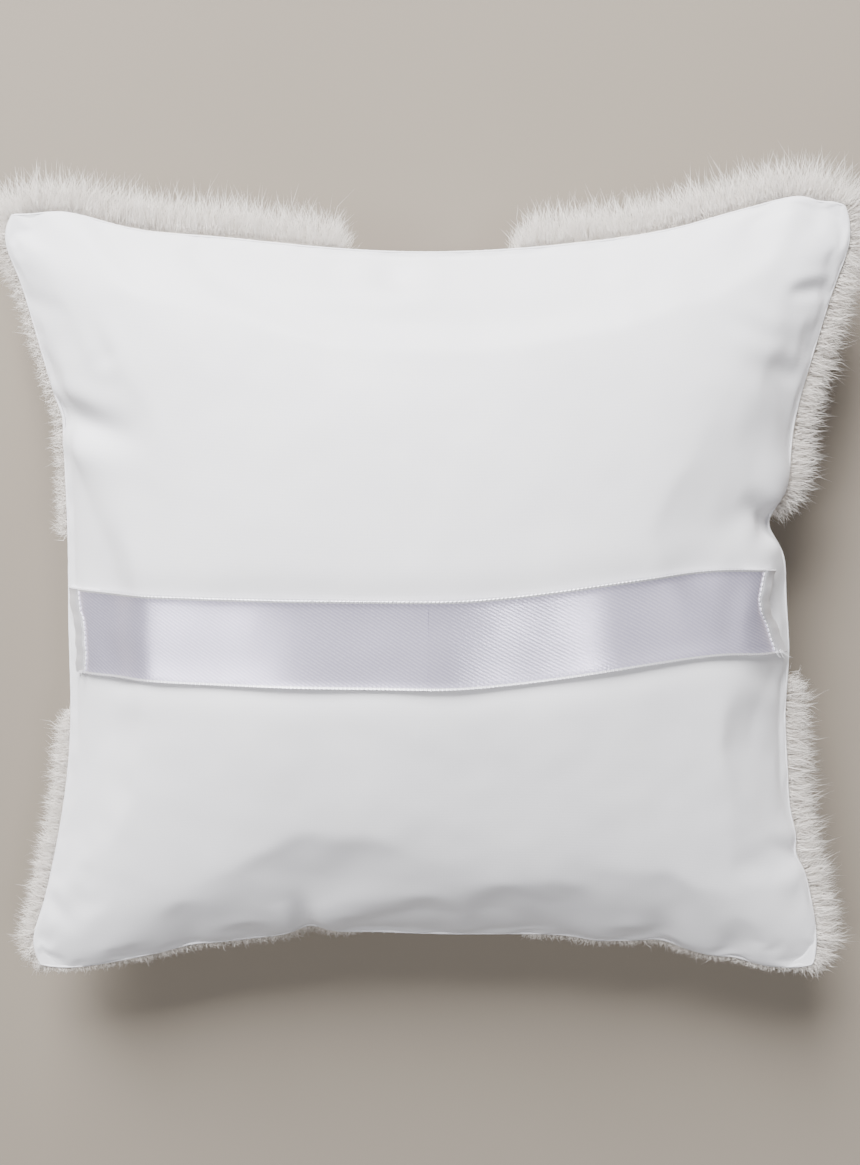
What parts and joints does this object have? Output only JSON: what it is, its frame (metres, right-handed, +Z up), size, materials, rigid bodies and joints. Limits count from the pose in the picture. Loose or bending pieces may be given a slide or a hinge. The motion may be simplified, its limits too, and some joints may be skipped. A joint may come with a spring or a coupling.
{
  "type": "ring bearer pillow",
  "caption": "Small square wedding ring pillow with a fur front, matte satin back, satin hand strap across the back, crossed sashes and a ribbon bow.",
  "frame": {"origin": "on the floor under the pillow's middle, with the pillow lying on its fur front", "axes": "+X across the pillow along the hand strap, +Y towards the far side, away from the viewer, +Z up out of the satin back"},
  "size_m": [0.2386, 0.2294, 0.0604],
  "materials": {
    "matte_satin": "matte bridal satin, white",
    "satin_ribbon": "glossy single-face satin ribbon, white",
    "fur": "faux fur pile, white",
    "backing_knit": "knitted ground cloth, off-white",
    "wadding": "polyester fibrefill",
    "thread": "spun polyester thread, white"
  },
  "bodies": {
    "root": {"back_panel": "matte_satin", "fur_backing": "backing_knit", "fibrefill": "wadding", "fur_pile_far_left": "fur", "fur_pile_far_right": "fur", "fur_pile_near_left": "fur", "fur_pile_near_right": "fur", "sash_lengthwise": "satin_ribbon", "sash_crosswise": "satin_ribbon", "hand_strap_left_span": "satin_ribbon", "hand_strap_right_span": "satin_ribbon", "strap_tuck_left": "satin_ribbon", "strap_tuck_right": "satin_ribbon", "strap_stitch_left": "thread", "strap_stitch_right": "thread", "seam_thread": "thread", "closing_stitch": "thread", "bow_knot": "satin_ribbon", "bow_loop_left": "satin_ribbon", "bow_loop_right": "satin_ribbon", "bow_tail_left": "satin_ribbon", "bow_tail_right": "satin_ribbon"},
    "strap": {"hand_strap_middle": "satin_ribbon"}
  },
  "joints": [
    {"name": "strap_lift", "type": "slide", "parent": "root", "child": "strap", "axis": [0, 0, 1], "range_m": [0, 0.02], "deforming": ["hand_strap_left_span", "hand_strap_right_span"]}
  ]
}
